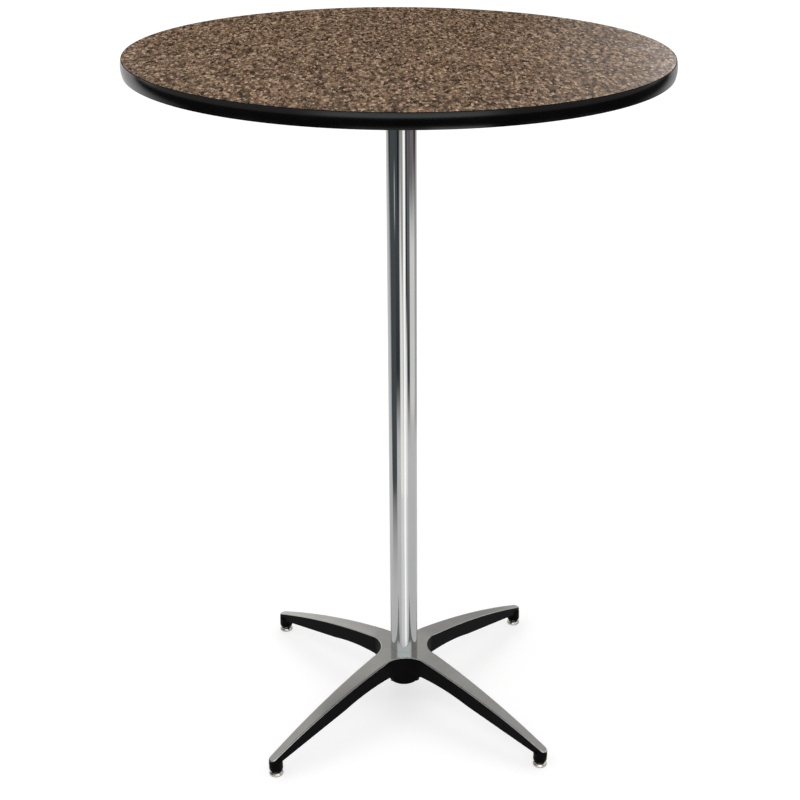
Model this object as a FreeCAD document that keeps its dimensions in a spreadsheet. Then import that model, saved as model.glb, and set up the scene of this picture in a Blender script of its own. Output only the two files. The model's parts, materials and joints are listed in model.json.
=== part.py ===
"""Pub table: a round laminated top on a chromed column and a four-leg cast base.

Millimetres, +Z up, origin on the floor under the middle of the column. The legs lie on the
diagonals, so the front of the table faces -Y.
"""
import FreeCAD
import Part
import Sketcher
import math
import os

# Driving dimensions

SIZES = {
    # The table as a whole
    "table_height": 1066.8,
    "top_diameter": 765.2,
    "leg_turn": 45.0,
    # The top: board, sheets and edging
    "core_thickness": 19.0,
    "laminate_thickness": 1.2,
    "backer_thickness": 0.8,
    "edge_lip": 0.8,
    "edge_crown": 1.6,
    "edge_corner_radius": 0.4,
    "edge_clearance": 0.1,
    "tongue_length": 10.0,
    "tongue_thickness": 2.6,
    "kerf_clearance": 0.2,
    # The spider under the top, and its screws
    "spider_reach": 118.0,
    "spider_root_half_width": 22.0,
    "spider_toe_half_width": 13.0,
    "spider_crotch_radius": 18.0,
    "spider_arm_thickness": 8.0,
    "spider_hub_height": 42.0,
    "spider_hub_wall": 7.0,
    "spider_flare_radius": 16.0,
    "socket_depth": 28.0,
    "inner_screw_radius": 66.0,
    "outer_screw_radius": 103.0,
    "screw_diameter": 4.6,
    "screw_length": 20.0,
    "screw_head_diameter": 9.2,
    "screw_head_height": 3.0,
    "screw_point_length": 4.0,
    "screw_hole_clearance": 0.3,
    "pilot_clearance": 0.05,
    # The column and the rod that ties it to the base
    "column_diameter": 44.0,
    "column_wall": 1.6,
    "column_clearance": 0.15,
    "column_seat_depth": 6.0,
    "rod_diameter": 10.0,
    "rod_chamfer": 1.0,
    "rod_top_gap": 1.0,
    "rod_overhang": 2.5,
    "rod_thread_clearance": 0.05,
    "rod_hole_clearance": 0.4,
    "washer_diameter": 26.0,
    "washer_thickness": 2.0,
    "washer_clearance": 0.25,
    "lock_washer_diameter": 18.0,
    "lock_washer_thickness": 2.4,
    "lock_washer_split": 1.6,
    "nut_across_flats": 17.0,
    "nut_height": 8.4,
    # The base: upper face, plan and underside
    "hub_top_height": 93.0,
    "hub_flat_radius": 44.0,
    "shoulder_width": 20.5,
    "shoulder_drop": 1.6,
    "leg_reach": 301.5,
    "leg_trim": 8.5,
    "leg_crown_radius": 1250.0,
    "leg_end_height": 26.8,
    "leg_root_half_width": 18.0,
    "leg_toe_half_width": 7.0,
    "leg_crotch_radius": 38.0,
    "leg_edge_radius": 2.2,
    "leg_root_depth": 31.7,
    "leg_bend_reach": 150.0,
    "leg_bend_drop": 12.8,
    "leg_end_depth": 9.5,
    "leg_wall": 4.5,
    "leg_roof": 5.5,
    "hub_roof": 13.0,
    "skirt_radius": 46.5,
    "skirt_lip": 0.5,
    "arch_radius": 10.0,
    "hub_boss_diameter": 50.0,
    "hub_boss_drop": 19.2,
    "hub_boss_round": 2.0,
    "nut_recess_diameter": 36.0,
    "nut_recess_depth": 20.0,
    # The toe bosses and the levelling glides
    "toe_setback": 12.0,
    "toe_land": 10.0,
    "toe_boss_radius": 10.8,
    "toe_boss_draft": 0.2,
    "toe_boss_shoulder_rise": 16.6,
    "toe_boss_neck_radius": 6.0,
    "toe_boss_neck_rise": 21.2,
    "toe_boss_roof": 2.0,
    "toe_boss_round": 3.5,
    "toe_boss_foot_height": 8.2,
    "glide_hole_depth": 19.5,
    "glide_thread_clearance": 0.08,
    "stem_diameter": 7.94,
    "stem_end_gap": 1.5,
    "stem_chamfer": 0.8,
    "stem_head_diameter": 13.0,
    "stem_head_height": 1.8,
    "pad_diameter": 22.2,
    "pad_gap": 0.5,
    "pad_sole": 1.4,
    "pad_rim_height": 2.8,
    "pad_rim_round": 1.0,
    "pad_neck_radius": 6.4,
    "pad_neck_height": 1.2,
    "pad_clearance": 0.15,
}

LEG_COUNT = 4
NUT_SIDES = 6

# Each foot, by its turn about the column from the first leg
FEET = {
    "back_right": 0.0,
    "back_left": 90.0,
    "front_left": 180.0,
    "front_right": 270.0,
}

# What counts as touching, as an upright face and as an upper face when edges are picked out
TOUCH = 1e-3
UPRIGHT_SLOPE = 1e-4
UPPER_SLOPE = 0.5

doc = FreeCAD.newDocument("pub_table")
sheet = doc.addObject("Spreadsheet::Sheet", "Sizes")
for row, (alias, value) in enumerate(SIZES.items(), start=1):
    sheet.set("A%d" % row, alias)
    sheet.set("B%d" % row, str(value))
    sheet.setAlias("B%d" % row, alias)
doc.recompute()


# Sizes that carry both a number and the expression that gives it

class Size:
    """A size worked out from the sheet: its number now, and its expression for later."""

    def __init__(self, number, text):
        self.number = float(number)
        self.text = text

    def __add__(self, other):
        other = as_size(other)
        return Size(self.number + other.number, "(%s + %s)" % (self.text, other.text))

    def __sub__(self, other):
        other = as_size(other)
        return Size(self.number - other.number, "(%s - %s)" % (self.text, other.text))

    def __mul__(self, other):
        other = as_size(other)
        return Size(self.number * other.number, "(%s * %s)" % (self.text, other.text))

    def __truediv__(self, other):
        other = as_size(other)
        return Size(self.number / other.number, "(%s / %s)" % (self.text, other.text))

    def __neg__(self):
        return Size(-self.number, "(0 - %s)" % self.text)

    def root(self):
        return Size(math.sqrt(self.number), "sqrt(%s)" % self.text)

    def cosine(self):
        return Size(math.cos(math.radians(self.number)), "cos(%s * 1 deg)" % self.text)

    def sine(self):
        return Size(math.sin(math.radians(self.number)), "sin(%s * 1 deg)" % self.text)


def as_size(value):
    if isinstance(value, Size):
        return value
    return Size(value, repr(float(value)))


def size(alias):
    return Size(SIZES[alias], "Sizes." + alias)


def blend_radius(run, drop):
    """The radius of an arc that starts level and has fallen by drop after run."""
    return (run * run + drop * drop) / (drop * 2.0)


def bind(thing, path, value):
    """Tie one property to the sheet."""
    thing.setExpression(path, as_size(value).text)


# Bodies, sketches and features

def new_body(label, x=0.0, y=0.0, z=0.0):
    """An empty body, placed at x, y, z."""
    body = doc.addObject("PartDesign::Body", label)
    body.Label = label
    for axis, value in (("x", x), ("y", y), ("z", z)):
        bind(body, "Placement.Base." + axis, value)
    return body


def new_sketch(body, role, shift=0.0, lift=0.0):
    """A sketch on one of the body's own planes, shifted along its first axis or lifted off it."""
    plane = [feature for feature in body.Origin.OriginFeatures if feature.Role == role][0]
    sketch = body.newObject("Sketcher::SketchObject", body.Label + "_sketch")
    sketch.AttachmentSupport = [(plane, "")]
    sketch.MapMode = "FlatFace"
    bind(sketch, "AttachmentOffset.Base.x", shift)
    bind(sketch, "AttachmentOffset.Base.z", lift)
    return sketch


def fix_point(sketch, curve, end, x, y):
    """Hold one end of a curve at x, y."""
    for kind, value, axis in (("DistanceX", as_size(x), -2), ("DistanceY", as_size(y), -1)):
        if value.number == 0.0:
            sketch.addConstraint(Sketcher.Constraint("PointOnObject", curve, end, axis))
        else:
            index = sketch.addConstraint(Sketcher.Constraint(kind, curve, end, value.number))
            bind(sketch, "Constraints[%d]" % index, value)


def arc_between(start, finish, radius):
    """The short arc from start to finish; a positive radius turns left, a negative one right."""
    chord = finish - start
    middle = (start + finish) * 0.5
    left = FreeCAD.Vector(-chord.y, chord.x, 0.0).normalize()
    rise = math.sqrt(radius * radius - chord.Length * chord.Length / 4.0)
    centre = middle + left * math.copysign(rise, radius)
    first, last = (start, finish) if radius > 0.0 else (finish, start)
    circle = Part.Circle(centre, FreeCAD.Vector(0.0, 0.0, 1.0), abs(radius))
    return Part.ArcOfCircle(circle, circle.parameter(first), circle.parameter(last))


def draw_outline(sketch, points):
    """A closed outline: each point is x, y, or x, y, radius where an arc leads to it."""
    count = len(points)
    spots = []
    for point in points:
        spots.append(FreeCAD.Vector(as_size(point[0]).number, as_size(point[1]).number, 0.0))
    first = sketch.GeometryCount
    heads = []
    for index, point in enumerate(points):
        start = spots[index - 1]
        finish = spots[index]
        if len(point) == 2:
            sketch.addGeometry(Part.LineSegment(start, finish), False)
            heads.append(2)
            continue
        radius = as_size(point[2])
        curve = sketch.addGeometry(arc_between(start, finish, radius.number), False)
        heads.append(2 if radius.number > 0.0 else 1)
        held = radius if radius.number > 0.0 else -radius
        rule = sketch.addConstraint(Sketcher.Constraint("Radius", curve, held.number))
        bind(sketch, "Constraints[%d]" % rule, held)
    for index, point in enumerate(points):
        curve = first + index
        after = first + (index + 1) % count
        tail = 3 - heads[(index + 1) % count]
        sketch.addConstraint(Sketcher.Constraint("Coincident", curve, heads[index], after, tail))
        fix_point(sketch, curve, heads[index], point[0], point[1])


def draw_circle(sketch, x, y, radius):
    """A circle held by its middle and its radius."""
    middle = FreeCAD.Vector(as_size(x).number, as_size(y).number, 0.0)
    up = FreeCAD.Vector(0.0, 0.0, 1.0)
    curve = sketch.addGeometry(Part.Circle(middle, up, as_size(radius).number), False)
    fix_point(sketch, curve, 3, x, y)
    rule = sketch.addConstraint(Sketcher.Constraint("Radius", curve, as_size(radius).number))
    bind(sketch, "Constraints[%d]" % rule, radius)


def draw_cross(sketch, half_width, sine, reach, crotch):
    """Four tapered arms with round toes and round crotches.

    half_width is the distance from the axis to an arm's side, sine is the sine of the side's
    taper, reach is the toe's distance from the axis and crotch the radius between two arms.
    """
    cosine = (as_size(1.0) - sine * sine).root()
    toe = (half_width - reach * sine) / (as_size(1.0) - sine)
    toe_middle = reach - toe
    crotch_middle = (half_width + crotch) / (sine + cosine)
    near_toe = toe_middle + toe * sine
    beside_toe = toe * cosine
    far_crotch = crotch_middle - crotch * sine
    near_crotch = crotch_middle - crotch * cosine
    arm = [
        (near_toe, beside_toe, toe),
        (far_crotch, near_crotch),
        (near_crotch, far_crotch, -crotch),
        (beside_toe, near_toe),
    ]
    points = []
    for quarter in range(LEG_COUNT):
        points.extend(arm)
        arm = [(-point[1], point[0], *point[2:]) for point in arm]
    draw_outline(sketch, points)


def revolve(body, sketch, kind="PartDesign::Revolution"):
    """Turn a sketch about its own vertical axis, to add or (as a Groove) to take away."""
    feature = body.newObject(kind, body.Label + "_turned")
    feature.Profile = sketch
    feature.ReferenceAxis = (sketch, ["V_Axis"])
    feature.Angle = 360.0
    body.Tip = feature
    return feature


def pad(body, sketch, length):
    """Raise a sketch by a length."""
    feature = body.newObject("PartDesign::Pad", body.Label + "_raised")
    feature.Profile = sketch
    bind(feature, "Length", length)
    body.Tip = feature
    return feature


def pocket(body, sketch, depth):
    """Cut a sketch upwards, away from its plane."""
    feature = body.newObject("PartDesign::Pocket", body.Label + "_cut")
    feature.Profile = sketch
    feature.Reversed = True
    bind(feature, "Length", depth)
    body.Tip = feature
    return feature


def around(body, features, count=LEG_COUNT):
    """Repeat features evenly about the body's own Z axis."""
    axis = [feature for feature in body.Origin.OriginFeatures if feature.Role == "Z_Axis"][0]
    pattern = body.newObject("PartDesign::PolarPattern", body.Label + "_pattern")
    pattern.Originals = features
    pattern.Axis = (axis, [""])
    pattern.Angle = 360.0
    pattern.Occurrences = count
    body.Tip = pattern
    return pattern


def round_edges(body, radius, wanted):
    """Round the edges of the body so far that the test picks out."""
    doc.recompute()
    base = body.Tip
    names = []
    for index, edge in enumerate(base.Shape.Edges, start=1):
        if wanted(base.Shape, edge):
            names.append("Edge%d" % index)
    feature = body.newObject("PartDesign::Fillet", body.Label + "_rounding")
    feature.Base = (base, names)
    bind(feature, "Radius", radius)
    body.Tip = feature
    return feature


def ring(label, inner, outer, height, z):
    """A plain ring or washer."""
    body = new_body(label, z=z)
    sketch = new_sketch(body, "XY_Plane")
    draw_circle(sketch, 0.0, 0.0, outer)
    draw_circle(sketch, 0.0, 0.0, inner)
    pad(body, sketch, height)
    return body


def drill_arm_holes(body, radius, depth, lift=0.0):
    """The eight holes that the spider's screws pass through, two along each arm."""
    sketch = new_sketch(body, "XY_Plane", lift=lift)
    for distance in (size("inner_screw_radius"), size("outer_screw_radius")):
        draw_circle(sketch, distance, 0.0, radius)
    around(body, [pocket(body, sketch, depth)])


# Heights and radii that several pieces share

top_thickness = size("core_thickness") + size("laminate_thickness") + size("backer_thickness")
underside_height = size("table_height") - top_thickness
core_height = underside_height + size("backer_thickness")
edge_thickness = size("edge_lip") + size("edge_crown")
core_radius = size("top_diameter") / 2.0 - edge_thickness - size("edge_clearance")
screw_radius = size("screw_diameter") / 2.0
screw_hole_radius = screw_radius + size("screw_hole_clearance")
arm_height = underside_height - size("spider_arm_thickness")
spider_height = underside_height - size("spider_hub_height")
column_radius = size("column_diameter") / 2.0
socket_radius = column_radius + size("column_clearance")
column_foot = size("hub_top_height") - size("column_seat_depth")
column_head = spider_height + size("socket_depth")
rod_radius = size("rod_diameter") / 2.0
tapped_radius = rod_radius + size("rod_thread_clearance")
rod_hole_radius = rod_radius + size("rod_hole_clearance")
leg_root_height = size("hub_top_height") - size("leg_root_depth")
leg_bend_height = leg_root_height - size("leg_bend_drop")
skirt_height = leg_root_height - size("arch_radius") - size("skirt_lip")
hub_boss_height = skirt_height - size("hub_boss_drop")
hub_boss_radius = size("hub_boss_diameter") / 2.0
nut_recess_height = hub_boss_height + size("nut_recess_depth")
washer_height = nut_recess_height - size("washer_thickness")
lock_washer_height = washer_height - size("lock_washer_thickness")
nut_seat_height = lock_washer_height - size("nut_height")
rod_foot = nut_seat_height - size("rod_overhang")
rod_head = underside_height - size("rod_top_gap")
shoulder_radius = size("hub_flat_radius") + size("shoulder_width")
shoulder_height = size("hub_top_height") - size("shoulder_drop")
shoulder_blend = blend_radius(size("shoulder_width"), size("shoulder_drop"))
foot_radius = size("leg_reach") - size("toe_setback")
stem_radius = size("stem_diameter") / 2.0
glide_hole_radius = stem_radius + size("glide_thread_clearance")
glide_hole_height = size("toe_boss_foot_height") + size("glide_hole_depth")
pad_height = size("toe_boss_foot_height") - size("pad_gap")


# The top

def make_top_core():
    """The board: a disc with a kerf round its edge and pilot holes in its lower face."""
    body = new_body("top_core", z=core_height)
    half_kerf = size("tongue_thickness") / 2.0 + size("kerf_clearance")
    kerf_low = size("core_thickness") / 2.0 - half_kerf
    kerf_high = size("core_thickness") / 2.0 + half_kerf
    kerf_radius = core_radius - size("tongue_length") - size("kerf_clearance")
    sketch = new_sketch(body, "XZ_Plane")
    draw_outline(sketch, [
        (0.0, 0.0),
        (core_radius, 0.0),
        (core_radius, kerf_low),
        (kerf_radius, kerf_low),
        (kerf_radius, kerf_high),
        (core_radius, kerf_high),
        (core_radius, size("core_thickness")),
        (0.0, size("core_thickness")),
    ])
    revolve(body, sketch)
    through = size("spider_arm_thickness") + size("backer_thickness")
    pilot_depth = size("screw_length") - through + size("pilot_clearance")
    drill_arm_holes(body, screw_radius + size("pilot_clearance"), pilot_depth)
    return body


def make_top_laminate():
    """The decorative sheet."""
    body = new_body("top_laminate", z=core_height + size("core_thickness"))
    sketch = new_sketch(body, "XY_Plane")
    draw_circle(sketch, 0.0, 0.0, core_radius)
    pad(body, sketch, size("laminate_thickness"))
    return body


def make_bottom_backer():
    """The balancing sheet, with clearance holes for the screws."""
    body = new_body("bottom_backer", z=underside_height)
    sketch = new_sketch(body, "XY_Plane")
    draw_circle(sketch, 0.0, 0.0, core_radius)
    pad(body, sketch, size("backer_thickness"))
    drill_arm_holes(body, screw_hole_radius, size("backer_thickness"))
    return body


def make_edge_band():
    """The T-section edging: a crowned face, and a tongue that is driven into the board's kerf."""
    body = new_body("edge_band", z=underside_height)
    inner = core_radius + size("edge_clearance")
    half_height = top_thickness / 2.0
    corner = size("edge_corner_radius")
    crown = blend_radius(half_height, size("edge_crown"))
    crown_middle = size("top_diameter") / 2.0 - crown
    corner_drop = half_height - corner
    corner_reach = ((crown - corner) * (crown - corner) - corner_drop * corner_drop).root()
    stretch = crown / (crown - corner)
    corner_middle = crown_middle + corner_reach
    crown_end = crown_middle + corner_reach * stretch
    crown_half = corner_drop * stretch
    tongue_middle = size("backer_thickness") + size("core_thickness") / 2.0
    tongue_low = tongue_middle - size("tongue_thickness") / 2.0
    tongue_high = tongue_middle + size("tongue_thickness") / 2.0
    sketch = new_sketch(body, "XZ_Plane")
    draw_outline(sketch, [
        (inner, 0.0),
        (corner_middle, 0.0),
        (crown_end, half_height - crown_half, corner),
        (crown_end, half_height + crown_half, crown),
        (corner_middle, top_thickness, corner),
        (inner, top_thickness),
        (inner, tongue_high),
        (inner - size("tongue_length"), tongue_high),
        (inner - size("tongue_length"), tongue_low),
        (inner, tongue_low),
    ])
    revolve(body, sketch)
    return body


# The spider and its screws

def make_top_spider():
    """The four-arm plate: a flared hub with a socket for the column and a tapped crown."""
    body = new_body("top_spider", z=spider_height)
    hub_radius = socket_radius + size("spider_hub_wall")
    flare = size("spider_flare_radius")
    arm_low = size("spider_hub_height") - size("spider_arm_thickness")
    sketch = new_sketch(body, "XZ_Plane")
    draw_outline(sketch, [
        (socket_radius, 0.0),
        (hub_radius, 0.0),
        (hub_radius, arm_low - flare),
        (hub_radius + flare, arm_low, -flare),
        (hub_radius + flare, size("spider_hub_height")),
        (tapped_radius, size("spider_hub_height")),
        (tapped_radius, size("socket_depth")),
        (socket_radius, size("socket_depth")),
    ])
    revolve(body, sketch)
    taper = size("spider_root_half_width") - size("spider_toe_half_width")
    sine = taper / (size("spider_reach") - size("spider_toe_half_width"))
    arms = new_sketch(body, "XY_Plane", lift=arm_low)
    draw_cross(arms, size("spider_root_half_width"), sine, size("spider_reach"),
               size("spider_crotch_radius"))
    draw_circle(arms, 0.0, 0.0, hub_radius)
    pad(body, arms, size("spider_arm_thickness"))
    drill_arm_holes(body, screw_hole_radius, size("spider_arm_thickness"), lift=arm_low)
    return body


def make_spider_screws():
    """Eight wood screws with low round heads, as one group."""
    body = new_body("spider_screws", z=arm_height - size("screw_head_height"))
    body.AllowCompound = True
    head_radius = size("screw_head_diameter") / 2.0
    tip = size("screw_head_height") + size("screw_length")
    screws = []
    for distance in (size("inner_screw_radius"), size("outer_screw_radius")):
        sketch = new_sketch(body, "XZ_Plane", shift=distance)
        draw_outline(sketch, [
            (0.0, 0.0),
            (head_radius - size("screw_head_height") / 2.0, 0.0),
            (head_radius, size("screw_head_height"), size("screw_head_height") * 2.0),
            (screw_radius, size("screw_head_height")),
            (screw_radius, tip - size("screw_point_length")),
            (0.0, tip),
        ])
        screws.append(revolve(body, sketch))
    around(body, screws)
    return body


# The column and its tie rod

def make_column_tube():
    """The chromed tube between the hub's seat and the spider's socket."""
    inner = column_radius - size("column_wall")
    return ring("column_tube", inner, column_radius, column_head - column_foot, column_foot)


def make_tie_rod():
    """The rod that pulls the spider down onto the column and the base."""
    body = new_body("tie_rod", z=rod_foot)
    length = rod_head - rod_foot
    chamfer = size("rod_chamfer")
    sketch = new_sketch(body, "XZ_Plane")
    draw_outline(sketch, [
        (0.0, 0.0),
        (rod_radius - chamfer, 0.0),
        (rod_radius, chamfer),
        (rod_radius, length - chamfer),
        (rod_radius - chamfer, length),
        (0.0, length),
    ])
    revolve(body, sketch)
    return body


def make_rod_washer():
    """The flat washer in the roof of the nut recess."""
    bore = rod_radius + size("washer_clearance")
    outer = size("washer_diameter") / 2.0
    return ring("rod_washer", bore, outer, size("washer_thickness"), washer_height)


def make_rod_lock_washer():
    """The split spring washer between the flat washer and the nut."""
    bore = rod_radius + size("washer_clearance")
    outer = size("lock_washer_diameter") / 2.0
    body = ring("rod_lock_washer", bore, outer, size("lock_washer_thickness"), lock_washer_height)
    half_split = size("lock_washer_split") / 2.0
    sketch = new_sketch(body, "XY_Plane")
    draw_outline(sketch, [
        (bore / 2.0, -half_split),
        (outer * 2.0, -half_split),
        (outer * 2.0, half_split),
        (bore / 2.0, half_split),
    ])
    pocket(body, sketch, size("lock_washer_thickness"))
    return body


def make_rod_nut():
    """The hexagon nut."""
    body = new_body("rod_nut", z=nut_seat_height)
    flat = size("nut_across_flats") / 2.0
    half_side = 180.0 / NUT_SIDES
    reach = flat / as_size(half_side).cosine()
    corners = []
    for side in range(NUT_SIDES):
        angle = as_size(half_side + side * half_side * 2.0)
        corners.append((reach * angle.cosine(), reach * angle.sine()))
    sketch = new_sketch(body, "XY_Plane")
    draw_outline(sketch, corners)
    draw_circle(sketch, 0.0, 0.0, tapped_radius)
    pad(body, sketch, size("nut_height"))
    return body


# The base

def leg_taper_sine():
    taper = size("leg_root_half_width") - size("leg_toe_half_width")
    return taper / (size("leg_reach") - size("leg_toe_half_width"))


def trim_to_cross(body, half_width, reach, crotch):
    """Cut away what lies outside the plan of the four legs."""
    sketch = new_sketch(body, "XY_Plane")
    draw_circle(sketch, 0.0, 0.0, size("leg_reach") + size("leg_trim") * 2.0)
    draw_cross(sketch, half_width, leg_taper_sine(), reach, crotch)
    pocket(body, sketch, size("hub_top_height") * 2.0)


def is_leg_edge(shape, edge):
    """An edge between the upper face and an upright side of a leg."""
    middle = edge.valueAt((edge.FirstParameter + edge.LastParameter) / 2.0)
    if math.hypot(middle.x, middle.y) < socket_radius.number + TOUCH:
        return False
    slopes = []
    for face in shape.ancestorsOfType(edge, Part.Face):
        slopes.append(face.normalAt(*face.Surface.parameter(middle)).z)
    return max(slopes) > UPPER_SLOPE and min(abs(slope) for slope in slopes) < UPRIGHT_SLOPE


def make_base_form():
    """The outside of the base: a turned profile trimmed to four legs, with a boss at each toe."""
    body = new_body("base_form")
    recess_radius = size("nut_recess_diameter") / 2.0
    skirt = size("skirt_radius")
    arch = size("arch_radius")
    round_foot = size("hub_boss_round")
    bend_run = size("leg_bend_reach") - skirt - arch
    bend_radius = blend_radius(bend_run, size("leg_bend_drop"))
    trimmed_reach = size("leg_reach") + size("leg_trim")
    profile = new_sketch(body, "XZ_Plane")
    draw_outline(profile, [
        (rod_hole_radius, nut_recess_height),
        (recess_radius, nut_recess_height),
        (recess_radius, hub_boss_height),
        (hub_boss_radius - round_foot, hub_boss_height),
        (hub_boss_radius, hub_boss_height + round_foot, round_foot),
        (hub_boss_radius, skirt_height),
        (skirt, skirt_height),
        (skirt, leg_root_height - arch),
        (skirt + arch, leg_root_height, -arch),
        (size("leg_bend_reach"), leg_bend_height, -bend_radius),
        (trimmed_reach, size("leg_end_height") - size("leg_end_depth")),
        (trimmed_reach, size("leg_end_height")),
        (shoulder_radius, shoulder_height, size("leg_crown_radius")),
        (size("hub_flat_radius"), size("hub_top_height"), shoulder_blend),
        (socket_radius, size("hub_top_height")),
        (socket_radius, column_foot),
        (rod_hole_radius, column_foot),
    ])
    revolve(body, profile)
    trim_to_cross(body, size("leg_root_half_width"), size("leg_reach"), size("leg_crotch_radius"))
    round_edges(body, size("leg_edge_radius"), is_leg_edge)

    boss = new_sketch(body, "XZ_Plane", shift=foot_radius)
    toe_round = size("toe_boss_round")
    boss_foot = size("toe_boss_foot_height")
    boss_head = glide_hole_height + size("toe_boss_roof")
    draw_outline(boss, [
        (0.0, boss_foot),
        (size("toe_boss_radius") - toe_round, boss_foot),
        (size("toe_boss_radius"), boss_foot + toe_round, toe_round),
        (size("toe_boss_radius") - size("toe_boss_draft"), boss_foot + size("toe_boss_shoulder_rise")),
        (size("toe_boss_neck_radius"), boss_foot + size("toe_boss_neck_rise")),
        (size("toe_boss_neck_radius"), boss_head),
        (0.0, boss_head),
    ])
    around(body, [revolve(body, boss)])
    hole = new_sketch(body, "XZ_Plane", shift=foot_radius)
    draw_outline(hole, [
        (0.0, 0.0),
        (glide_hole_radius, 0.0),
        (glide_hole_radius, glide_hole_height),
        (0.0, glide_hole_height + glide_hole_radius / 2.0),
    ])
    around(body, [revolve(body, hole, "PartDesign::Groove")])
    return body


def make_base_core():
    """The hollow under the legs and round the hub's boss, as the casting's core."""
    body = new_body("base_core")
    trimmed_reach = size("leg_reach") + size("leg_trim")
    profile = new_sketch(body, "XZ_Plane")
    draw_outline(profile, [
        (hub_boss_radius, 0.0),
        (trimmed_reach, 0.0),
        (trimmed_reach, size("leg_end_height") - size("leg_roof")),
        (shoulder_radius, shoulder_height - size("leg_roof"), size("leg_crown_radius")),
        (hub_boss_radius, size("hub_top_height") - size("hub_roof")),
    ])
    revolve(body, profile)
    half_width = size("leg_root_half_width") - size("leg_wall")
    reach = foot_radius - size("toe_boss_radius") - size("toe_land")
    trim_to_cross(body, half_width, reach, size("leg_crotch_radius") + size("leg_wall"))
    return body


def make_base_casting():
    """The hollow four-leg base, turned onto the diagonals."""
    casting = doc.addObject("Part::Cut", "base_casting")
    casting.Label = "base_casting"
    casting.Base = make_base_form()
    casting.Tool = make_base_core()
    casting.Placement.Rotation = FreeCAD.Rotation(FreeCAD.Vector(0.0, 0.0, 1.0), 0.0)
    bind(casting, "Placement.Rotation.Angle", size("leg_turn"))
    return casting


# The levelling glides

def foot_place(turn):
    """The middle of one toe boss, on plan."""
    angle = size("leg_turn") + turn
    return foot_radius * angle.cosine(), foot_radius * angle.sine()


def make_glide_pad(label, x, y):
    """The foot: a domed cup closed over the head of its stem."""
    body = new_body(label, x=x, y=y)
    outer = size("pad_diameter") / 2.0
    rim_round = size("pad_rim_round")
    neck_low = pad_height - size("pad_neck_height")
    head_radius = size("stem_head_diameter") / 2.0 + size("pad_clearance")
    roof = size("pad_sole") + size("stem_head_height") + size("pad_clearance") * 2.0
    bore = stem_radius + size("pad_clearance")
    dome_run = outer - size("pad_neck_radius")
    dome_rise = neck_low - size("pad_rim_height")
    dome_radius = blend_radius(dome_run, dome_rise)
    sketch = new_sketch(body, "XZ_Plane")
    draw_outline(sketch, [
        (0.0, 0.0),
        (outer - rim_round, 0.0),
        (outer, rim_round, rim_round),
        (outer, size("pad_rim_height")),
        (size("pad_neck_radius"), neck_low, dome_radius),
        (size("pad_neck_radius"), pad_height),
        (bore, pad_height),
        (bore, roof),
        (head_radius, roof),
        (head_radius, size("pad_sole")),
        (0.0, size("pad_sole")),
    ])
    revolve(body, sketch)
    return body


def make_glide_stem(label, x, y):
    """The threaded stem, with the flat head that the foot is closed over."""
    head_low = size("pad_sole") + size("pad_clearance")
    body = new_body(label, x=x, y=y, z=head_low)
    head_radius = size("stem_head_diameter") / 2.0
    length = glide_hole_height - size("stem_end_gap") - head_low
    chamfer = size("stem_chamfer")
    sketch = new_sketch(body, "XZ_Plane")
    draw_outline(sketch, [
        (0.0, 0.0),
        (head_radius, 0.0),
        (head_radius, size("stem_head_height")),
        (stem_radius, size("stem_head_height")),
        (stem_radius, length - chamfer),
        (stem_radius - chamfer, length),
        (0.0, length),
    ])
    revolve(body, sketch)
    return body


# Build, check and write

pieces = [
    make_top_core(),
    make_top_laminate(),
    make_bottom_backer(),
    make_edge_band(),
    make_top_spider(),
    make_spider_screws(),
    make_column_tube(),
    make_tie_rod(),
    make_rod_washer(),
    make_rod_lock_washer(),
    make_rod_nut(),
    make_base_casting(),
]
for foot, turn in FEET.items():
    place = foot_place(turn)
    pieces.append(make_glide_pad("glide_pad_" + foot, *place))
    pieces.append(make_glide_stem("glide_stem_" + foot, *place))
doc.recompute()

for thing in doc.Objects:
    if "Invalid" in thing.State or "Error" in thing.State:
        raise RuntimeError("%s did not build: %s" % (thing.Label, thing.State))
for piece in pieces:
    if piece.Shape.isNull() or not piece.Shape.isValid():
        raise RuntimeError("%s has no valid shape" % piece.Label)

os.makedirs("parts", exist_ok=True)
for piece in pieces:
    piece.Shape.exportStep(os.path.join("parts", piece.Label + ".step"))
    box = piece.Shape.BoundBox
    print("%-28s solids %d volume %12.1f  z %8.2f to %8.2f" % (
        piece.Label, len(piece.Shape.Solids), piece.Shape.Volume, box.ZMin, box.ZMax))
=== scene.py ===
"""Looks of the pub table: finishes, threaded small parts, studio stage and the photograph's camera."""
import json
import math

import bmesh
import bpy
from mathutils import Matrix, Vector


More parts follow.
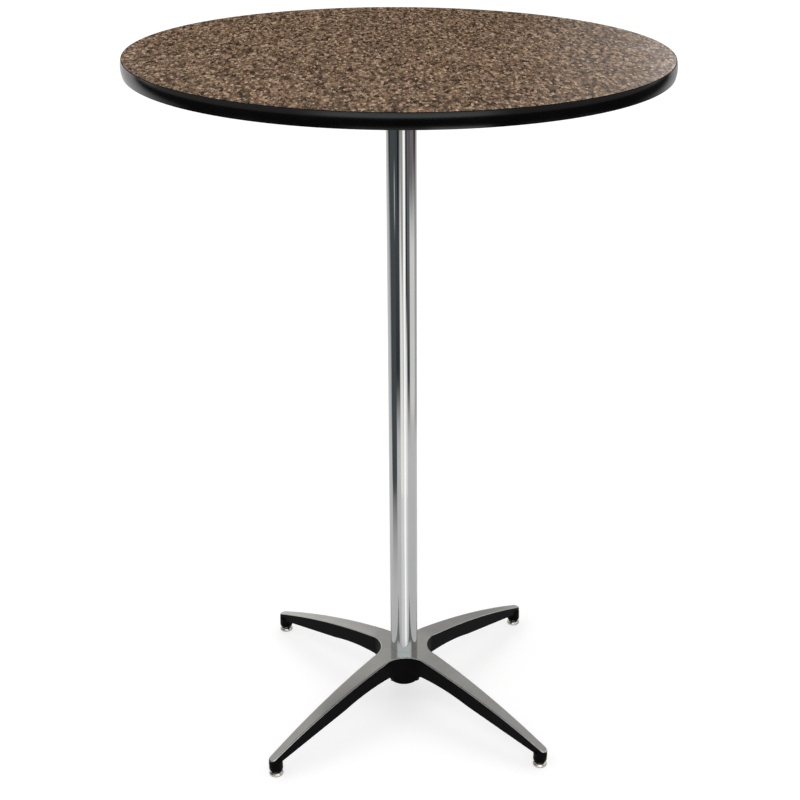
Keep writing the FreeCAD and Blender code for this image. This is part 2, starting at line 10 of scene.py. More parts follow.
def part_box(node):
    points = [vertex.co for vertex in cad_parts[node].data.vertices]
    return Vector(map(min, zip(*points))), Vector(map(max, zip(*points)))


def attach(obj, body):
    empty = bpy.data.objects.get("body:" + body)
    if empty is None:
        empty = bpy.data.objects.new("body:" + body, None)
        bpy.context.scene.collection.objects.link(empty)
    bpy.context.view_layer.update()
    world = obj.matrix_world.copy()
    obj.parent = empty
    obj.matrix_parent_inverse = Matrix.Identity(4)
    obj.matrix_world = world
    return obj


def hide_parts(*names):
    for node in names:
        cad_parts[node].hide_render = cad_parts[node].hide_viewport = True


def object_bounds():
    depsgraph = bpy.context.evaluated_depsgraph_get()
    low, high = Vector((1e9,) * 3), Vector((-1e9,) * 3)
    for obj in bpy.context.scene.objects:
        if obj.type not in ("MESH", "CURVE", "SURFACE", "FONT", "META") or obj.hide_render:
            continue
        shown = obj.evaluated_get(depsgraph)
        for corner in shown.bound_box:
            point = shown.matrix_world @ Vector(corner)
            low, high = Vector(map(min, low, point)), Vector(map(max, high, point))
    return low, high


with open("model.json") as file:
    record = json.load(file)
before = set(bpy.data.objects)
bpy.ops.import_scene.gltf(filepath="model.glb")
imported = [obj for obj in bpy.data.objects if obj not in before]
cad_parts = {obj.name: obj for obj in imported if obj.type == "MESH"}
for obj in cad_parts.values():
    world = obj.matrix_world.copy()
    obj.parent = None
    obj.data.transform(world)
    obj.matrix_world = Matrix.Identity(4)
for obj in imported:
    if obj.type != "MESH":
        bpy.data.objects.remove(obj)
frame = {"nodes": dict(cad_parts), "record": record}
cad_low, cad_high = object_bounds()
bpy.ops.object.select_all(action="DESELECT")

FEET = ("front_left", "front_right", "back_left", "back_right")
MM = 0.001


# Nodes of the finishes

def connect(owner, socket, value):
    """Give a socket a plain value, or link it to another node's output."""
    if isinstance(value, bpy.types.NodeSocket):
        owner.node_tree.links.new(value, socket)
    else:
        socket.default_value = value


def put(owner, kind, inputs=None, **settings):
    """Add one node to a material or world and fill its sockets."""
    node = owner.node_tree.nodes.new("ShaderNode" + kind)
    for name, value in settings.items():
        setattr(node, name, value)
    for key, value in (inputs or {}).items():
        connect(owner, node.inputs[key], value)
    return node


def maths(owner, operation, first, second=0.0):
    """The result of one sum on two numbers or sockets."""
    return put(owner, "Math", {0: first, 1: second}, operation=operation).outputs[0]


def times(owner, first, second):
    """The product of two numbers or sockets."""
    return maths(owner, "MULTIPLY", first, second)


def lean(owner, factor, first, second):
    """A value that goes from first to second as the factor goes from 0 to 1."""
    gap = maths(owner, "SUBTRACT", second, first)
    return maths(owner, "ADD", first, times(owner, factor, gap))


def blend(owner, factor, first, second, blend_type="MIX"):
    """The mix of two colours."""
    node = put(owner, "Mix", {0: factor, 6: first, 7: second}, data_type="RGBA", blend_type=blend_type)
    return node.outputs[2]


def spread(owner, value, low, high, start=0.0, end=1.0):
    """Carry a value smoothly from one range to another, held at both ends."""
    inputs = {"Value": value, "From Min": low, "From Max": high, "To Min": start, "To Max": end}
    return put(owner, "MapRange", inputs, interpolation_type="SMOOTHSTEP").outputs[0]


def between(owner, value, start, full, full_end, end):
    """One between full and full_end, fading to nothing at start and at end."""
    return times(owner, spread(owner, value, start, full), spread(owner, value, end, full_end))


def ramp(owner, factor, stops):
    """The colour at a factor between the given stops."""
    node = put(owner, "ValToRGB", {0: factor})
    elements = node.color_ramp.elements
    elements[0].position = stops[0][0]
    elements[1].position = stops[-1][0]
    for position, _ in stops[1:-1]:
        elements.new(position)
    for element, (_, colour) in zip(elements, stops):
        element.color = (*colour, 1.0)
    return node.outputs[0]


def noise(owner, place, scale, detail=2.0, roughness=0.5):
    """A noise texture's factor."""
    inputs = {"Vector": place, "Scale": scale, "Detail": detail, "Roughness": roughness}
    return put(owner, "TexNoise", inputs).outputs[0]


# Most of a noise's factor lies between these
NOISE_RANGE = (0.3, 0.7)


def vary(owner, pattern, low, high):
    """A value that a noise carries from low to high."""
    return spread(owner, pattern, *NOISE_RANGE, low, high)


# Soft patches go over from one tone to the other between these
PATCH_RANGE = (0.35, 0.65)


def patches(owner, place, scale, detail, dark, light):
    """Two tones in soft patches."""
    low, high = PATCH_RANGE
    return ramp(owner, noise(owner, place, scale, detail), ((low, dark), (high, light)))


def stretch(owner, place, scale):
    """The same place, scaled along its axes."""
    return put(owner, "Mapping", {"Vector": place, "Scale": scale}).outputs[0]


def new_finish(name):
    """A material with an empty shader, and the place on the object that its textures use."""
    finish = bpy.data.materials.new(name)
    finish.use_nodes = True
    place = put(finish, "TexCoord").outputs["Object"]
    return finish, place


def set_shader(finish, **inputs):
    """Fill the shader's sockets; underscores stand for the spaces in their names."""
    shader = finish.node_tree.nodes["Principled BSDF"]
    for name, value in inputs.items():
        connect(finish, shader.inputs[name.replace("_", " ")], value)


def bump(finish, height, distance, strength=1.0):
    """A bump of the given height in metres."""
    inputs = {"Height": height, "Strength": strength, "Distance": distance}
    return put(finish, "Bump", inputs).outputs[0]


# Finishes

# The photograph shows the speckle without foreshortening, so it is drawn out along Y
LAMINATE_STRETCH = 0.36
CRUMB_SCALE = 300.0
CLOUD_SCALE = 480.0
RAGGED_SCALE = 560.0
RAGGED_REACH = 4.2 * MM
# The share of a crumb's own tone, and of the cloud over it, in the tone that is seen
TONE_SHARE = 0.55
CRUMB_TONES = (
    (0.30, (0.025, 0.0148, 0.0080)),
    (0.43, (0.088, 0.0505, 0.0275)),
    (0.55, (0.229, 0.133, 0.072)),
    (0.67, (0.405, 0.256, 0.149)),
    (0.82, (0.640, 0.468, 0.312)),
)
# Each crumb draws lots; a high draw tints it olive or mauve
OLIVE_LOTS = (0.70, 0.78)
MAUVE_LOTS = (0.74, 0.82)
TINT_SHARE = 0.55
OLIVE_TINT = (0.165, 0.130, 0.068, 1.0)
MAUVE_TINT = (0.270, 0.160, 0.120, 1.0)
SEAM_REACH = (0.35, 0.75)
SEAM_SHADE = 0.62


def laminate_finish():
    """Brown speckled sheet: small crumbs in tan, brown, olive and mauve under a satin surface."""
    finish, place = new_finish("speckled_laminate")
    lengthwise = stretch(finish, place, (1.0, LAMINATE_STRETCH, 1.0))
    shakes = {"Vector": lengthwise, "Scale": RAGGED_SCALE, "Detail": 2.0}
    drift = put(finish, "TexNoise", shakes).outputs["Color"]
    centred = put(finish, "VectorMath", {0: drift, 1: (0.5, 0.5, 0.5)}, operation="SUBTRACT").outputs[0]
    pushed = put(finish, "VectorMath", {0: centred, "Scale": RAGGED_REACH}, operation="SCALE").outputs[0]
    ragged = put(finish, "VectorMath", {0: lengthwise, 1: pushed}, operation="ADD").outputs[0]
    crumbs = put(finish, "TexVoronoi", {"Vector": ragged, "Scale": CRUMB_SCALE}).outputs
    lots = put(finish, "SeparateColor", {0: crumbs["Color"]}).outputs
    cloud = noise(finish, lengthwise, CLOUD_SCALE, 3.0, 0.65)
    tone = times(finish, maths(finish, "ADD", lots[0], cloud), TONE_SHARE)
    grains = ramp(finish, tone, CRUMB_TONES)
    olive = spread(finish, lots[1], *OLIVE_LOTS, 0.0, TINT_SHARE)
    mauve = spread(finish, lots[2], *MAUVE_LOTS, 0.0, TINT_SHARE)
    toned = blend(finish, olive, grains, OLIVE_TINT)
    toned = blend(finish, mauve, toned, MAUVE_TINT)
    seams = spread(finish, crumbs["Distance"], *SEAM_REACH, 1.0, SEAM_SHADE)
    seamed = blend(finish, 1.0, toned, seams, "MULTIPLY")
    wear = noise(finish, place, 14.0, 4.0, 0.6)
    set_shader(
        finish, Base_Color=seamed, Roughness=vary(finish, wear, 0.36, 0.44),
        Specular_IOR_Level=0.20, Normal=bump(finish, noise(finish, place, 900.0, 2.0), 0.02 * MM, 0.3),
    )
    return finish


TRIM_LIP = 0.8 * MM
TRIM_FADE = 0.4 * MM
VINYL_GLOSS = 0.5
LIP_ROUGHNESS = 0.5
LIP_DULLING = 0.45


def edging_finish():
    """Black vinyl with a fine drawn grain, and a matt lip where it is trimmed flush with the sheet."""
    finish, place = new_finish("black_vinyl")
    grain = noise(finish, stretch(finish, place, (1.0, 1.0, 6.0)), 420.0, 3.0)
    height = put(finish, "SeparateXYZ", {0: place}).outputs[2]
    trim_line = cad_high[2] - TRIM_LIP
    lip = spread(finish, height, trim_line, trim_line + TRIM_FADE)
    tone = patches(finish, place, 26.0, 3.0, (0.0025, 0.0025, 0.0028), (0.0045, 0.0045, 0.0049))
    sheen = vary(finish, grain, 0.12, 0.18)
    set_shader(
        finish, Base_Color=tone, Roughness=maths(finish, "ADD", sheen, times(finish, lip, LIP_ROUGHNESS)),
        Specular_IOR_Level=maths(finish, "SUBTRACT", VINYL_GLOSS, times(finish, lip, LIP_DULLING)),
        Normal=bump(finish, grain, 0.01 * MM, 0.2),
    )
    return finish


def column_finish():
    """Bright chrome with faint vertical polishing marks."""
    finish, place = new_finish("column_chrome")
    marks = noise(finish, stretch(finish, place, (1.0, 1.0, 0.02)), 900.0, 2.0)
    tone = patches(finish, place, 11.0, 3.0, (0.545, 0.552, 0.552), (0.575, 0.578, 0.572))
    set_shader(
        finish, Base_Color=tone, Metallic=1.0, Roughness=vary(finish, marks, 0.06, 0.09),
        Normal=bump(finish, marks, 0.004 * MM, 0.2),
    )
    return finish


# The upper faces of the base, as the construction draws them
HUB_TOP = 93.0 * MM
CROWN_RADIUS = 1250.0 * MM
CROWN_CENTRE_REACH = -129.2 * MM
CROWN_CENTRE_HEIGHT = -1143.5 * MM
POLISH_DEPTH = 1.2 * MM
POLISH_FEATHER = 0.25 * MM
POLISH_WANDER = 0.5 * MM
# The hub is buffed brighter than the legs
HUB_POLISH_REACH = 75.0 * MM
LEG_POLISH_REACH = 120.0 * MM
LEG_BEARING = 45.0


def casting_finish():
    """Cast aluminium, polished on the upper faces and painted black on the sides and underneath."""
    finish, place = new_finish("polished_casting")
    spot = put(finish, "SeparateXYZ", {0: place}).outputs
    level = put(finish, "VectorMath", {0: place, 1: (1.0, 1.0, 0.0)}, operation="MULTIPLY").outputs[0]
    reach = put(finish, "VectorMath", {0: level}, operation="LENGTH").outputs["Value"]
    run = maths(finish, "SUBTRACT", reach, CROWN_CENTRE_REACH)
    run_squared = maths(finish, "POWER", run, 2.0)
    rise = maths(finish, "SQRT", maths(finish, "SUBTRACT", CROWN_RADIUS ** 2, run_squared))
    crown = maths(finish, "MINIMUM", maths(finish, "ADD", rise, CROWN_CENTRE_HEIGHT), HUB_TOP)
    depth = maths(finish, "SUBTRACT", crown, spot[2])
    wander = times(finish, noise(finish, place, 160.0, 3.0), POLISH_WANDER)
    polished = spread(
        finish, maths(finish, "ADD", depth, wander),
        POLISH_DEPTH - POLISH_FEATHER, POLISH_DEPTH + POLISH_FEATHER, 1.0, 0.0,
    )
    # Grinding marks run along each leg
    to_the_legs = {"Vector": level, "Angle": math.radians(LEG_BEARING)}
    turned = put(finish, "VectorRotate", to_the_legs, rotation_type="Z_AXIS")
    sides = put(finish, "VectorMath", {0: turned.outputs[0]}, operation="ABSOLUTE").outputs[0]
    legs = put(finish, "SeparateXYZ", {0: sides}).outputs
    along = maths(finish, "MAXIMUM", legs[0], legs[1])
    across = maths(finish, "MINIMUM", legs[0], legs[1])
    leg_place = put(finish, "CombineXYZ", {0: along, 1: across, 2: 0.0}).outputs[0]
    marks = noise(finish, stretch(finish, leg_place, (0.05, 1.0, 1.0)), 1500.0, 3.0)
    skin = noise(finish, place, 700.0, 3.0, 0.6)
    metal = patches(finish, place, 30.0, 4.0, (0.600, 0.592, 0.570), (0.640, 0.633, 0.612))
    paint = patches(finish, place, 60.0, 3.0, (0.0012, 0.0012, 0.0014), (0.0026, 0.0026, 0.0029))
    buffed = spread(finish, reach, HUB_POLISH_REACH, LEG_POLISH_REACH, 0.12, 0.22)
    metal_roughness = maths(finish, "ADD", buffed, vary(finish, marks, -0.015, 0.015))
    paint_roughness = vary(finish, skin, 0.30, 0.42)
    roughness = lean(finish, polished, paint_roughness, metal_roughness)
    marks_height = times(finish, marks, times(finish, polished, 0.02))
    skin_height = times(finish, skin, maths(finish, "SUBTRACT", 1.0, polished))
    set_shader(
        finish, Base_Color=blend(finish, polished, paint, metal), Metallic=polished, Roughness=roughness,
        Specular_IOR_Level=0.05,
        Normal=bump(finish, maths(finish, "ADD", marks_height, skin_height), 0.05 * MM, 0.5),
    )
    return finish


def black_casting_finish():
    """Black paint over a sand-cast skin."""
    finish, place = new_finish("black_casting")
    skin = noise(finish, place, 420.0, 4.0, 0.6)
    tone = patches(finish, place, 40.0, 3.0, (0.010, 0.010, 0.010), (0.020, 0.020, 0.019))
    set_shader(
        finish, Base_Color=tone, Roughness=vary(finish, skin, 0.45, 0.60),
        Normal=bump(finish, skin, 0.12 * MM, 0.6),
    )
    return finish


def zinc_finish():
    """Zinc plating, a little yellow and blue in places."""
    finish, place = new_finish("zinc_plate")
    tone = ramp(finish, noise(finish, place, 180.0, 3.0), (
        (0.30, (0.60, 0.62, 0.65)), (0.50, (0.66, 0.66, 0.63)), (0.70, (0.68, 0.63, 0.50)),
    ))
    marks = noise(finish, place, 1400.0, 2.0)
    set_shader(
        finish, Base_Color=tone, Metallic=1.0, Roughness=vary(finish, marks, 0.26, 0.40),
        Normal=bump(finish, marks, 0.01 * MM, 0.3),
    )
    return finish


SCUFF_LOW = 0.4 * MM
SCUFF_HIGH = 1.4 * MM


def nickel_finish():
    """Bright nickel, slightly warm, with turned marks and a scuffed sole."""
    finish, place = new_finish("nickel_plate")
    tone = patches(finish, place, 120.0, 3.0, (0.66, 0.625, 0.56), (0.74, 0.715, 0.66))
    marks = noise(finish, stretch(finish, place, (0.2, 0.2, 1.0)), 2600.0, 2.0)
    height = put(finish, "SeparateXYZ", {0: place}).outputs[2]
    scuffs = spread(finish, height, SCUFF_LOW, SCUFF_HIGH, 0.30, 0.0)
    set_shader(
        finish, Base_Color=tone, Metallic=1.0,
        Roughness=maths(finish, "ADD", vary(finish, marks, 0.12, 0.20), scuffs),
        Normal=bump(finish, marks, 0.01 * MM, 0.3),
    )
    return finish


def board_finish():
    """Plywood: long grain on the faces and plies round the edge."""
    finish, place = new_finish("plywood")
    grain = noise(finish, stretch(finish, place, (0.06, 1.0, 1.0)), 160.0, 4.0, 0.6)
    layers = {"Vector": place, "Scale": 55.0, "Distortion": 0.6}
    plies = put(finish, "TexWave", layers, bands_direction="Z")
    face = ramp(finish, grain, ((0.3, (0.33, 0.20, 0.10)), (0.7, (0.56, 0.38, 0.22))))
    tone = blend(finish, times(finish, plies.outputs[1], 0.4), face, (0.24, 0.14, 0.07, 1.0))
    set_shader(finish, Base_Color=tone, Roughness=vary(finish, grain, 0.60, 0.80),
               Normal=bump(finish, grain, 0.1 * MM, 0.5))
    return finish


def backer_finish():
    """Dark brown balancing sheet with a paper-like mottle."""
    finish, place = new_finish("backer_sheet")
    mottle = noise(finish, place, 55.0, 5.0, 0.65)
    tone = ramp(finish, mottle, ((0.3, (0.032, 0.024, 0.019)), (0.7, (0.060, 0.046, 0.036))))
    fibres = noise(finish, stretch(finish, place, (1.0, 0.15, 1.0)), 600.0, 3.0)
    set_shader(finish, Base_Color=tone, Roughness=vary(finish, fibres, 0.48, 0.62),
               Normal=bump(finish, fibres, 0.05 * MM, 0.4))
    return finish


FINISHES = {
    "board": board_finish(),
    "laminate": laminate_finish(),
    "backer": backer_finish(),
    "edging": edging_finish(),
    "black_casting": black_casting_finish(),
    "zinc_steel": zinc_finish(),
    "column_chrome": column_finish(),
    "polished_casting": casting_finish(),
    "nickel": nickel_finish(),
}


def dress(piece, slot):
    """Put one finish on a piece, in place of anything it has."""
    piece.data.materials.clear()
    piece.data.materials.append(FINISHES[slot])


for subpart in frame["record"]["subparts"]:
    dress(frame["nodes"][subpart["node"]], subpart["material_slot"])


# Small threaded parts

NEAR = 0.02 * MM
BAR_SIDES = 40
RINGS_PER_TURN = 9
SMOOTH_ANGLE = math.radians(35.0)
# How much of a normal points along the axis on a flat end
FLAT = 0.9
# How fast the groove of a thread rises on both sides of its middle
FLANK = 2.35


def add_bar(name, sides, radius, low, high):
    """Start a bar along the middle axis and open it for editing."""
    bpy.ops.object.select_all(action="DESELECT")
    bpy.ops.mesh.primitive_cylinder_add(
        vertices=sides, radius=radius, depth=high - low, location=(0.0, 0.0, (low + high) / 2.0),
    )
    bar = bpy.context.object
    bar.name = name
    bar.data.name = name
    bpy.ops.object.transform_apply(location=True, rotation=True, scale=True)
    bpy.ops.object.mode_set(mode="EDIT")
    return bar


def pick(piece, kind, wanted):
    """Select only the faces or edges that pass a test."""
    bpy.ops.mesh.select_mode(type=kind)
    bpy.ops.mesh.select_all(action="DESELECT")
    mesh = bmesh.from_edit_mesh(piece.data)
    for part in (mesh.faces if kind == "FACE" else mesh.edges):
        if wanted(part):
            part.select_set(True)
    mesh.select_flush_mode()
    bmesh.update_edit_mesh(piece.data)


def draw_out_end(piece, height, facing, growth, rise):
    """Extrude the flat end at a height: grow it about the axis and move it along."""
    pick(piece, "FACE", lambda face: (
        face.normal.z * facing > FLAT and abs(face.calc_center_median().z - height) < NEAR
    ))
    bpy.ops.mesh.extrude_region_move()
    bpy.ops.transform.resize(value=(growth, growth, 1.0), center_override=(0.0, 0.0, height))
    bpy.ops.transform.translate(value=(0.0, 0.0, rise))
    return height + rise


def chamfer_rim(piece, height, width):
    """Take the corner off the rim at a height."""
    pick(piece, "EDGE", lambda edge: all(abs(vert.co.z - height) < NEAR for vert in edge.verts))
    bpy.ops.mesh.bevel(offset=width, offset_type="OFFSET", segments=1, affect="EDGES")


def is_upright(edge):
    """Whether an edge runs along the axis."""
    first, second = (vert.co for vert in edge.verts)
    return abs(first.z - second.z) > NEAR and (first.xy - second.xy).length < NEAR


def cut_thread(piece, radius, low, high, pitch, depth):
    """Cut a right-hand thread into a bar's side, ring by ring, as no operator winds a helix."""
    turns = math.ceil((high - low) / pitch)
    for cuts in (turns - 1, RINGS_PER_TURN - 1):
        pick(piece, "EDGE", is_upright)
        bpy.ops.mesh.subdivide(number_cuts=cuts)
    mesh = bmesh.from_edit_mesh(piece.data)
    for vert in mesh.verts:
        if abs(vert.co.xy.length - radius) > NEAR or not low < vert.co.z < high:
            continue
        phase = (vert.co.z / pitch - math.atan2(vert.co.y, vert.co.x) / math.tau) % 1.0
        groove = max(0.0, 1.0 - abs(phase - 0.5) * FLANK)
        fade = min(1.0, (vert.co.z - low) / pitch, (high - vert.co.z) / pitch)
        shrink = 1.0 - depth * groove * fade / radius
        vert.co.x *= shrink
        vert.co.y *= shrink
    bmesh.update_edit_mesh(piece.data)


def close_piece(piece):
    """Leave edit mode with clean normals and smooth shading."""
    bpy.ops.mesh.select_all(action="SELECT")
    bpy.ops.mesh.normals_make_consistent(inside=False)
    bpy.ops.object.mode_set(mode="OBJECT")
    bpy.ops.object.select_all(action="DESELECT")
    piece.select_set(True)
    bpy.context.view_layer.objects.active = piece
    bpy.ops.object.shade_smooth_by_angle(angle=SMOOTH_ANGLE)


def carve(piece, cutter, operation):
    """Cut one piece with another, which is used up."""
    bpy.ops.object.select_all(action="DESELECT")
    bpy.context.view_layer.objects.active = piece
    piece.select_set(True)
    modifier = piece.modifiers.new("carve", "BOOLEAN")
    modifier.operation = operation
    modifier.solver = "EXACT"
    modifier.object = cutter
    bpy.ops.object.modifier_apply(modifier=modifier.name)
    bpy.data.objects.remove(cutter)


def copy_to(piece, name, place, turn=0.0):
    """A copy of a piece with its own mesh, turned about its axis and set in its place."""
    bpy.ops.object.select_all(action="DESELECT")
    bpy.context.view_layer.objects.active = piece
    piece.select_set(True)
    bpy.ops.object.duplicate(linked=False)
    twin = bpy.context.object
    twin.name = name
    twin.data.name = name
    twin.rotation_euler = (0.0, 0.0, math.radians(turn))
    twin.location = (*place, 0.0)
    bpy.ops.object.transform_apply(location=True, rotation=True, scale=True)
    return twin


def fit(piece, body, node, slot):
    """Let a piece stand for a node of the construction."""
    dress(piece, slot)
    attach(piece, body)
    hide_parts(node)


# The glides' stems: 5/16-18 threads above a flat round head
STEM_RADIUS = 3.97 * MM
STEM_HEAD = 1.8 * MM
STEM_PLAIN = 2.6 * MM
STEM_CHAMFER = 0.8 * MM
STEM_HEAD_CHAMFER = 0.3 * MM
STEM_PITCH = 25.4 / 18.0 * MM
STEM_THREAD = 0.85 * MM
# Each stem stands at its own angle
STEM_TURN = 70.0


def make_stems():
    """One stem, modelled on the axis and copied to the four toes."""
    low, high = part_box("glide_stem_" + FEET[0])
    head_radius = (high.x - low.x) / 2.0
    neck = low.z + STEM_HEAD
    stem = add_bar("stem_pattern", BAR_SIDES, STEM_RADIUS, neck, high.z)
    chamfer_rim(stem, high.z, STEM_CHAMFER)
    cut_thread(stem, STEM_RADIUS, neck + STEM_PLAIN, high.z - STEM_CHAMFER, STEM_PITCH, STEM_THREAD)
    draw_out_end(stem, neck, -1.0, head_radius / STEM_RADIUS, 0.0)
    sole = draw_out_end(stem, neck, -1.0, 1.0, -STEM_HEAD)
    chamfer_rim(stem, sole, STEM_HEAD_CHAMFER)
    close_piece(stem)
    for number, foot in enumerate(FEET):
        node = "glide_stem_" + foot
        low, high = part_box(node)
        place = ((low.x + high.x) / 2.0, (low.y + high.y) / 2.0)
        twin = copy_to(stem, "threaded_stem_" + foot, place, STEM_TURN * number)
        fit(twin, "stem_" + foot, node, "zinc_steel")
    bpy.data.objects.remove(stem)


# The rod and its nut: an M10 thread
ROD_PITCH = 1.5 * MM
ROD_THREAD = 0.92 * MM
ROD_THREADED = 45.0 * MM
ROD_CHAMFER = 1.0 * MM
NUT_BORE_GAP = 0.08 * MM
NUT_CHAMFER = 1.2 * MM
NUT_SIDES = 6
NUT_TURNING_SIDES = 60


def make_rod_and_nut():
    """The rod with its threaded foot, and the hexagon nut with its corners turned off."""
    low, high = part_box("tie_rod")
    radius = (high.x - low.x) / 2.0
    thread_end = low.z + ROD_THREADED
    rod = add_bar("threaded_rod", BAR_SIDES, radius, low.z, thread_end)
    chamfer_rim(rod, low.z, ROD_CHAMFER)
    cut_thread(rod, radius, low.z + ROD_CHAMFER, thread_end, ROD_PITCH, ROD_THREAD)
    draw_out_end(rod, thread_end, 1.0, 1.0, high.z - thread_end)
    close_piece(rod)
    fit(rod, "table", "tie_rod", "zinc_steel")

    low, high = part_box("rod_nut")
    corner = max(high.x - low.x, high.y - low.y) / 2.0
    nut = add_bar("hexagon_nut", NUT_SIDES, corner, low.z, high.z)
    close_piece(nut)
    turning = add_bar("nut_turning", NUT_TURNING_SIDES, corner, low.z, high.z)
    for rim in (low.z, high.z):
        chamfer_rim(turning, rim, NUT_CHAMFER)
    close_piece(turning)
    carve(nut, turning, "INTERSECT")
    bore = add_bar("nut_bore", BAR_SIDES, radius + NUT_BORE_GAP, low.z - MM, high.z + MM)
    close_piece(bore)
    carve(nut, bore, "DIFFERENCE")
    bpy.ops.object.shade_smooth_by_angle(angle=SMOOTH_ANGLE)
    fit(nut, "table", "rod_nut", "zinc_steel")


# The wood screws: pan heads with a cross recess under the spider's arms
SCREW_RADIUS = 2.3 * MM
SCREW_HEAD_RADIUS = 4.6 * MM
SCREW_HEAD = 3.0 * MM
SCREW_POINT = 4.0 * MM
# The share of the shank's width that is left at the tip
SCREW_TIP = 0.12
SCREW_PLAIN = 6.0 * MM
SCREW_PITCH = 1.8 * MM
SCREW_THREAD = 0.6 * MM
SPIDER_ARMS = 4
SCREW_REACHES = (66.0 * MM, 103.0 * MM)
# Each screw stops at its own angle
ARM_TURN = 53.0
SCREW_TURN = 31.0
# The pan head's steps: growth of the rim, share of the head's height
PAN_STEPS = ((1.0, 0.45), (0.86, 0.33), (0.62, 0.22))
CROSS_LENGTH = 5.2 * MM
CROSS_WIDTH = 1.15 * MM
CROSS_DEPTH = 1.7 * MM
# The share of the cross that is left at its floor
CROSS_TAPER = 0.55
CROSS_TURNS = (0.0, 90.0)


def make_screws():
    """One screw, modelled on the axis, cut with a cross, copied along the four arms and joined."""
    low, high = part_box("spider_screws")
    seat = low.z + SCREW_HEAD
    point = high.z - SCREW_POINT
    screw = add_bar("screw_pattern", BAR_SIDES, SCREW_RADIUS, seat, point)
    cut_thread(screw, SCREW_RADIUS, seat + SCREW_PLAIN, point, SCREW_PITCH, SCREW_THREAD)
    draw_out_end(screw, point, 1.0, SCREW_TIP, SCREW_POINT)
    level = draw_out_end(screw, seat, -1.0, SCREW_HEAD_RADIUS / SCREW_RADIUS, 0.0)
    for growth, share in PAN_STEPS:
        level = draw_out_end(screw, level, -1.0, growth, -SCREW_HEAD * share)
    close_piece(screw)
    for turn in CROSS_TURNS:
        bpy.ops.object.select_all(action="DESELECT")
        bpy.ops.mesh.primitive_cube_add(
            size=1.0, location=(0.0, 0.0, low.z), rotation=(0.0, 0.0, math.radians(turn)),
            scale=(CROSS_LENGTH, CROSS_WIDTH, CROSS_DEPTH * 2.0),
        )
        blade = bpy.context.object
        bpy.ops.object.transform_apply(location=True, rotation=True, scale=True)
        bpy.ops.object.mode_set(mode="EDIT")
        pick(blade, "FACE", lambda face: face.normal.z > FLAT)
        bpy.ops.transform.resize(value=(CROSS_TAPER, CROSS_TAPER, 1.0), center_override=(0.0, 0.0, low.z))
        close_piece(blade)
        carve(screw, blade, "DIFFERENCE")
    bpy.ops.object.shade_smooth_by_angle(angle=SMOOTH_ANGLE)
    screws = []
    for arm in range(SPIDER_ARMS):
        bearing = math.tau * arm / SPIDER_ARMS
        for number, reach in enumerate(SCREW_REACHES):
            place = (reach * math.cos(bearing), reach * math.sin(bearing))
            turn = ARM_TURN * arm + SCREW_TURN * number
            screws.append(copy_to(screw, "cross_head_screw_%d_%d" % (arm, number), place, turn))
    bpy.data.objects.remove(screw)
    bpy.ops.object.select_all(action="DESELECT")
    for twin in screws:
        twin.select_set(True)
    bpy.context.view_layer.objects.active = screws[0]
    bpy.ops.object.join()
    joined = bpy.context.object
    joined.name = "cross_head_screws"
    joined.data.name = "cross_head_screws"
    fit(joined, "table", "spider_screws", "zinc_steel")


make_stems()
make_rod_and_nut()
make_screws()


# Stage

WHITE = (1.0, 1.0, 1.0)
FLOOR_SIZE = 40.0
FLOOR_COLOUR = (0.50, 0.50, 0.50, 1.0)
FLOOR_SHADE = (0.03, 0.03, 0.03, 1.0)
FLOOR_ROUGHNESS = 0.9
FLOOR_TO_CAMERA = 0.645
FLOOR_TO_GLOSS = 0.34
CARD_REACH = 0.75
CARD_TOP = 0.80

# What reflections see of the floor, by distances in metres and by bearings in degrees from the front
# towards the right: it is dark, except close by and in a fan behind the table
PALE_REACH = (0.95, 1.45)
FAN_LEFT_SLOPE = -1.1
FAN_RIGHT_SLOPE = 1.35
FAN_EDGE = (-3.2, -0.4)
FAN_START = (-0.3, 0.6)
FAN_RIGHT_SIDE = (0.1, 0.5)
FAN_RIGHT_SHARE = 0.7
SLATE_BEARINGS = (-102, -92, -55, -48)
SLATE_REACH = (0.30, 1.0)
# Light strips from the column out to the light cards in front: bearings, and glow
STRIP_REACH = (0.15, 0.21, CARD_REACH, CARD_REACH + 0.02)
STRIPS = (
    ((-24, -14, 0, 9), 0.60),
    ((17, 24, 33, 39), 0.58),
    ((3, 10, 17, 25), 1.24),
)


def pale_floor(finish, spot, reach, bearing):
    """How pale the floor is to reflections, from 0 to 1."""
    close_by = spread(finish, reach, *PALE_REACH, 1.0, 0.0)
    left_edge = times(finish, spot[0], FAN_LEFT_SLOPE)
    right_edge = times(finish, spot[0], FAN_RIGHT_SLOPE)
    aside = maths(finish, "MAXIMUM", left_edge, right_edge)
    fan = spread(finish, maths(finish, "SUBTRACT", spot[1], aside), *FAN_EDGE)
    behind = times(finish, fan, spread(finish, spot[1], *FAN_START))
    behind = times(finish, behind, spread(finish, spot[0], *FAN_RIGHT_SIDE, 1.0, FAN_RIGHT_SHARE))
    slate = times(finish, between(finish, bearing, *SLATE_BEARINGS), spread(finish, reach, *SLATE_REACH))
    pale = maths(finish, "MAXIMUM", close_by, behind)
    return times(finish, pale, maths(finish, "SUBTRACT", 1.0, slate))


